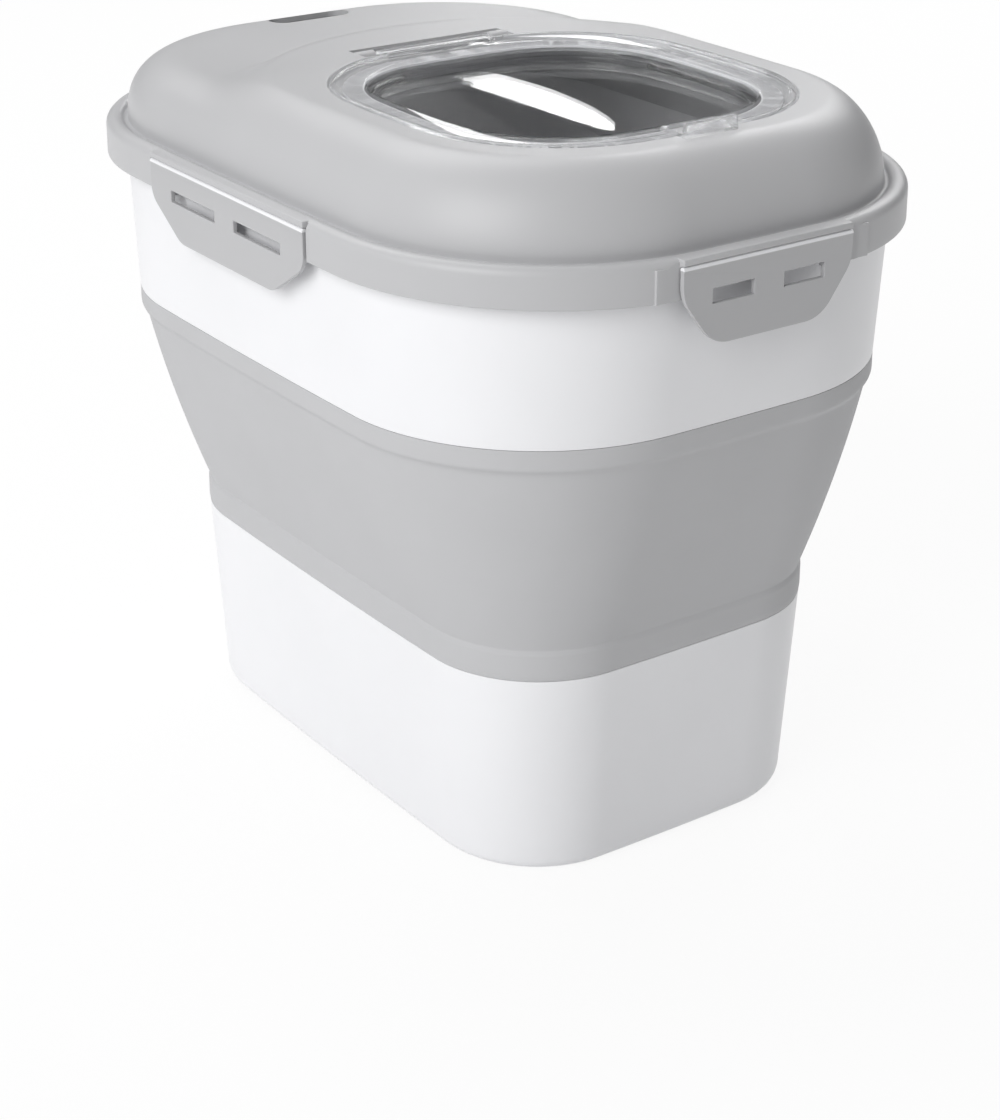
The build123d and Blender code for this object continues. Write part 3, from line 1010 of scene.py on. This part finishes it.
def finger_tab():
    """Foot that grips the flange, and an upright lip with rounded corners in front of it."""
    half = 13.5
    lip_thickness = 2.6
    foot_thickness = 2.0
    lip = window_low[1]
    back = window_front + 8.0
    low = flange_top + 0.3
    foot = block((-half, lip, low), (half, back, low + foot_thickness), 0.5)
    root = block((-half, window_front + 0.5, flange_low + 0.4), (half, back, low + 1.0), 0.4)
    upright = block((-half, lip, low), (half, lip + lip_thickness, window_high[2]), 1.2)
    return foot, root, upright


def flip_window():
    made = piece("window_pane", window_pane(), clear)
    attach(made, "window")
    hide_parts("flip_window")


def small_parts():
    """The hidden seals and the hinge pin keep their solids, with a better finish."""
    finishes = {"lid_gasket": soft_seal, "window_seal": soft_seal, "window_hinge_pin": pin_steel}
    for node, material in finishes.items():
        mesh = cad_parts[node].data
        mesh.materials.clear()
        mesh.materials.append(material)


WHITE = (1.0, 1.0, 1.0, 1.0)
FLOOR_PALE = (0.9, 0.9, 0.9, 1.0)
CARD_DARK = (0.05, 0.05, 0.05, 1.0)


def dark_card():
    """Part of an upright cylinder behind the object: a dark card, which only reflections show.

    Without it the window, seen at a low angle, mirrors nothing but white, and what lies under
    it is lost. Sizes here are in metres.
    """
    reach = 4.0
    heights = [0.01, 2.6]
    angle = np.radians(np.linspace(-30.0, 100.0, 40))
    row = np.dstack([reach * np.sin(angle), reach * np.cos(angle)])
    grid = lift(np.repeat(row, 2, axis=0), heights).reshape(-1, 3)
    index = np.arange(len(angle) - 1)
    beyond = len(angle)
    faces = np.stack([index, index + 1, index + 1 + beyond, index + beyond], axis=-1)
    mesh = bpy.data.meshes.new("dark_card")
    mesh.from_pydata(grid.tolist(), [], faces.tolist())
    finish = Finish(bpy.data.materials.new("card_dark"))
    material = finish.show(finish.shader("ShaderNodeBsdfDiffuse", {"Color": CARD_DARK}))
    made = piece("dark_card", mesh, material)
    made.visible_camera = False
    made.visible_diffuse = False
    made.visible_transmission = False
    made.visible_shadow = False


def white_for_rays(finish):
    """1 for rays from the camera, and those that shiny and clear surfaces send on."""
    path = finish.node("ShaderNodeLightPath")
    glossy = finish.out(path, "Is Glossy Ray")
    through = finish.out(path, "Is Transmission Ray")
    return finish.out(path, "Is Camera Ray").highest(glossy.highest(through))


def floor():
    """Pale floor that reads as white and still takes a faint shadow."""
    half = 30.0
    mesh = bpy.data.meshes.new("floor")
    points = [(-half, -half, 0.0), (half, -half, 0.0), (half, half, 0.0), (-half, half, 0.0)]
    mesh.from_pydata(points, [], [(0, 1, 2, 3)])
    finish = Finish(bpy.data.materials.new("floor_white"))
    pale = finish.shader("ShaderNodeBsdfDiffuse", {"Color": FLOOR_PALE})
    white = finish.shader("ShaderNodeEmission", {"Color": WHITE, "Strength": 1.0})
    share = white_for_rays(finish) * 0.9
    mixed = finish.shader("ShaderNodeMixShader", {0: share, 1: pale, 2: white})
    made = piece("floor", mesh, finish.show(mixed))


def sky():
    """Even grey light all round, which reads as white where it is seen."""
    world = bpy.data.worlds.new("studio")
    bpy.context.scene.world = world
    finish = Finish(world)
    plain = finish.shader("ShaderNodeBackground", {"Color": WHITE, "Strength": 0.33})
    white = finish.shader("ShaderNodeBackground", {"Color": WHITE, "Strength": 1.0})
    share = white_for_rays(finish)
    mixed = finish.shader("ShaderNodeMixShader", {0: share, 1: plain, 2: white})
    finish.show(mixed, "ShaderNodeOutputWorld")


def lamp(name, place, aim, width, height, power, shape="RECTANGLE", tilt=0.0):
    """Softbox: an area lamp, in metres, turned towards its aim and tilted about its own axis."""
    data = bpy.data.lights.new(name, "AREA")
    data.shape = shape
    data.size = width
    data.size_y = height
    data.energy = power
    made = bpy.data.objects.new(name, data)
    bpy.context.scene.collection.objects.link(made)
    made.location = place
    facing = (Vector(aim) - Vector(place)).to_track_quat("-Z", "Y").to_matrix()
    made.rotation_euler = (facing @ Matrix.Rotation(radians(tilt), 3, "Z")).to_euler()
    made.visible_camera = False


def lamps():
    """Three softboxes on the object, and a narrow lamp whose mirror image lies in the window."""
    body = (0.0, 0.0, 0.2)
    pane = (0.0, -0.05, 0.315)
    lamp("key_lamp", (-2.3, -0.68, 1.6), body, 1.8, 1.8, 48.0)
    lamp("top_lamp", (0.0, 1.25, 2.2), body, 1.6, 1.6, 23.0)
    lamp("rear_lamp", (2.3, 1.4, 1.9), body, 1.5, 1.5, 26.0)
    lamp("window_lamp", (1.68, 2.325, 1.0), pane, 0.1, 0.72, 1.55, "ELLIPSE", 31.0)


def camera():
    """Camera at the photograph's place, with its centre of sight above the frame's middle."""
    frame_width = 1000.0
    frame_height = 1120.0
    focal_pixels = 2458.96
    sight_column = 492.62
    sight_row = 382.69
    azimuth = radians(-35.08)
    elevation = radians(20.84)
    distance = 1.1286
    aim = Vector((0.0, 0.0, 0.170))
    level = cos(elevation)
    back = Vector((sin(azimuth) * level, -cos(azimuth) * level, sin(elevation)))
    data = bpy.data.cameras.new("camera")
    data.sensor_width = 36.0
    data.sensor_fit = "AUTO"
    data.lens = data.sensor_width * focal_pixels / frame_height
    data.shift_x = (frame_width / 2 - sight_column) / frame_height
    data.shift_y = (sight_row - frame_height / 2) / frame_height
    made = bpy.data.objects.new("camera", data)
    bpy.context.scene.collection.objects.link(made)
    made.location = aim + back * distance
    made.rotation_euler = (-back).to_track_quat("-Z", "Y").to_euler()
    bpy.context.scene.camera = made


lower_tub()
folding_sleeve()
upper_ring()
lid()
for seat, body in zip(clip_seats, ("front_latch", "right_latch", "rear_latch", "left_latch")):
    clip(seat, body)
flip_window()
small_parts()
floor()
sky()
dark_card()
lamps()
camera()
bpy.context.scene.view_settings.view_transform = "Standard"
